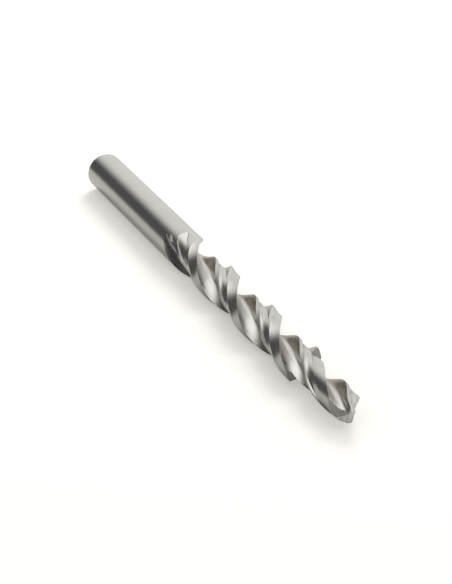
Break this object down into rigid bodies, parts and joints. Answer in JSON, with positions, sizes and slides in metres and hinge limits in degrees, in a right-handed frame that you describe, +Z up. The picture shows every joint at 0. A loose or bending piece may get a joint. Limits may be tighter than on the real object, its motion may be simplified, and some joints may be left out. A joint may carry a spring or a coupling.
{
  "type": "step drill bit",
  "caption": "Two-flute subland step drill in bright ground high-speed steel: plain round shank, helical flutes with a minor groove, a step shoulder and a relieved conical point",
  "frame": {"origin": "centre of the shank's end face, on the drill's axis", "axes": "+X along the drill's axis from the shank to the point, +Z up as the drill lies on its side"},
  "size_m": [0.125, 0.009, 0.009],
  "materials": {
    "tool_steel": "bright ground, polished flutes"
  },
  "bodies": {
    "root": {"step_drill": "tool_steel"}
  },
  "joints": []
}
